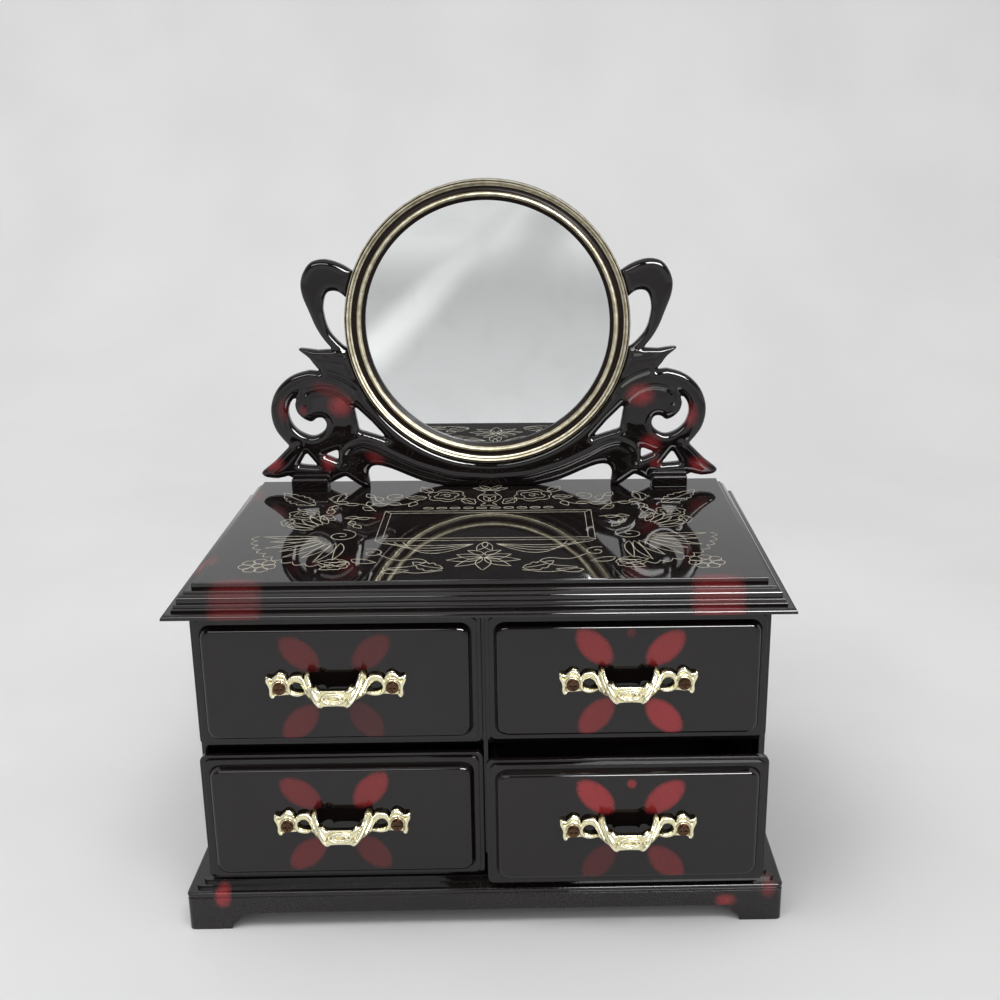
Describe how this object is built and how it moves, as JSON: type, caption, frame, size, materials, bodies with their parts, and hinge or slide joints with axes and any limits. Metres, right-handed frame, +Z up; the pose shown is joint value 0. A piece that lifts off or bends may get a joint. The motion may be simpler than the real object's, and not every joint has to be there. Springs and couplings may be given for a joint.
{
  "type": "musical jewelry box",
  "caption": "Black lacquer-look musical jewelry box: a small dresser with drawers, bow pulls, a moulded top and a round mirror on a scroll stand, wound by a key at the back.",
  "frame": {"origin": "floor level, in the middle of the box from its foremost pull to its winding key", "axes": "+Z up, the drawers open towards -Y, +X to the right seen from the front"},
  "size_m": [0.2006, 0.1526, 0.2414],
  "materials": {
    "black_lacquer": "high-gloss black with red airbrushed dabs",
    "ring_frame": "black ring with two pale gold bands",
    "mirror_glass": "silvered glass",
    "backing": "matt black",
    "plated_steel": "zinc plated",
    "tray_plastic": "satin moulded black",
    "red_velvet": "short-pile red velvet",
    "pale_gold": "pale gold plated casting",
    "bronzed_screws": "bronzed cross-head screws",
    "cast_bedplate": "raw casting",
    "movement_brass": "bright brass"
  },
  "bodies": {
    "case": {"plinth": "black_lacquer", "case_left_side": "black_lacquer", "case_right_side": "black_lacquer", "shelf": "black_lacquer", "upper_divider": "black_lacquer", "lower_divider": "black_lacquer", "back_panel": "black_lacquer", "back_screws": "plated_steel", "top_board": "black_lacquer", "scroll_stand": "black_lacquer", "stand_screws": "plated_steel", "mirror_ring": "ring_frame", "mirror_glass": "mirror_glass", "mirror_backing": "backing", "movement_bedplate": "cast_bedplate", "movement_screws": "plated_steel", "spring_barrel": "movement_brass", "mainspring": "plated_steel", "cylinder_brackets": "movement_brass", "comb": "plated_steel", "comb_screws": "plated_steel", "governor_bracket": "movement_brass", "lever_bracket": "movement_brass"},
    "drawer_upper_left": {"drawer_front_upper_left": "black_lacquer", "drawer_tray_upper_left": "tray_plastic", "drawer_lining_upper_left": "red_velvet", "drawer_pull_upper_left": "pale_gold", "pull_screws_upper_left": "bronzed_screws"},
    "drawer_upper_right": {"drawer_front_upper_right": "black_lacquer", "drawer_tray_upper_right": "tray_plastic", "drawer_lining_upper_right": "red_velvet", "drawer_pull_upper_right": "pale_gold", "pull_screws_upper_right": "bronzed_screws"},
    "drawer_lower_left": {"drawer_front_lower_left": "black_lacquer", "drawer_tray_lower_left": "tray_plastic", "drawer_lining_lower_left": "red_velvet", "drawer_pull_lower_left": "pale_gold", "pull_screws_lower_left": "bronzed_screws"},
    "drawer_lower_right": {"drawer_front_lower_right": "black_lacquer", "drawer_tray_lower_right": "tray_plastic", "drawer_lining_lower_right": "red_velvet", "drawer_pull_lower_right": "pale_gold", "pull_screws_lower_right": "bronzed_screws"},
    "winding_train": {"winding_key": "movement_brass", "winding_arbor": "plated_steel", "drive_gear": "movement_brass"},
    "cylinder": {"pinned_cylinder": "movement_brass", "cylinder_gear": "movement_brass"},
    "governor": {"governor_fan": "movement_brass"},
    "stop_lever": {"stop_lever": "plated_steel"}
  },
  "joints": [
    {"name": "slide_upper_left", "type": "slide", "parent": "case", "child": "drawer_upper_left", "axis": [0, -1, 0], "range_m": [0, 0.055]},
    {"name": "slide_upper_right", "type": "slide", "parent": "case", "child": "drawer_upper_right", "axis": [0, -1, 0], "range_m": [0, 0.055]},
    {"name": "slide_lower_left", "type": "slide", "parent": "case", "child": "drawer_lower_left", "axis": [0, -1, 0], "range_m": [-0.0025, 0.0525]},
    {"name": "slide_lower_right", "type": "slide", "parent": "case", "child": "drawer_lower_right", "axis": [0, -1, 0], "range_m": [-0.008, 0.047]},
    {"name": "key_turn", "type": "hinge", "parent": "case", "child": "winding_train", "pos_m": [0.028, 0.0595, 0.0941], "axis": [0, 1, 0], "continuous": true},
    {"name": "cylinder_turn", "type": "hinge", "parent": "case", "child": "cylinder", "pos_m": [0.0537, 0.0352, 0.0941], "axis": [1, 0, 0], "continuous": true},
    {"name": "governor_turn", "type": "hinge", "parent": "case", "child": "governor", "pos_m": [0.07, 0.0352, 0.1022], "axis": [1, 0, 0], "continuous": true},
    {"name": "stop_lever_swing", "type": "hinge", "parent": "case", "child": "stop_lever", "pos_m": [0.0787, 0.0268, 0.1076], "axis": [0, 0, 1], "range_deg": [-16, 1]}
  ],
  "couplings": [
    {"joint": "cylinder_turn", "follows": "key_turn", "ratio": -3},
    {"joint": "governor_turn", "follows": "key_turn", "ratio": 9},
    {"joint": "stop_lever_swing", "follows": "slide_upper_right", "rad_per_m": -4.76}
  ]
}
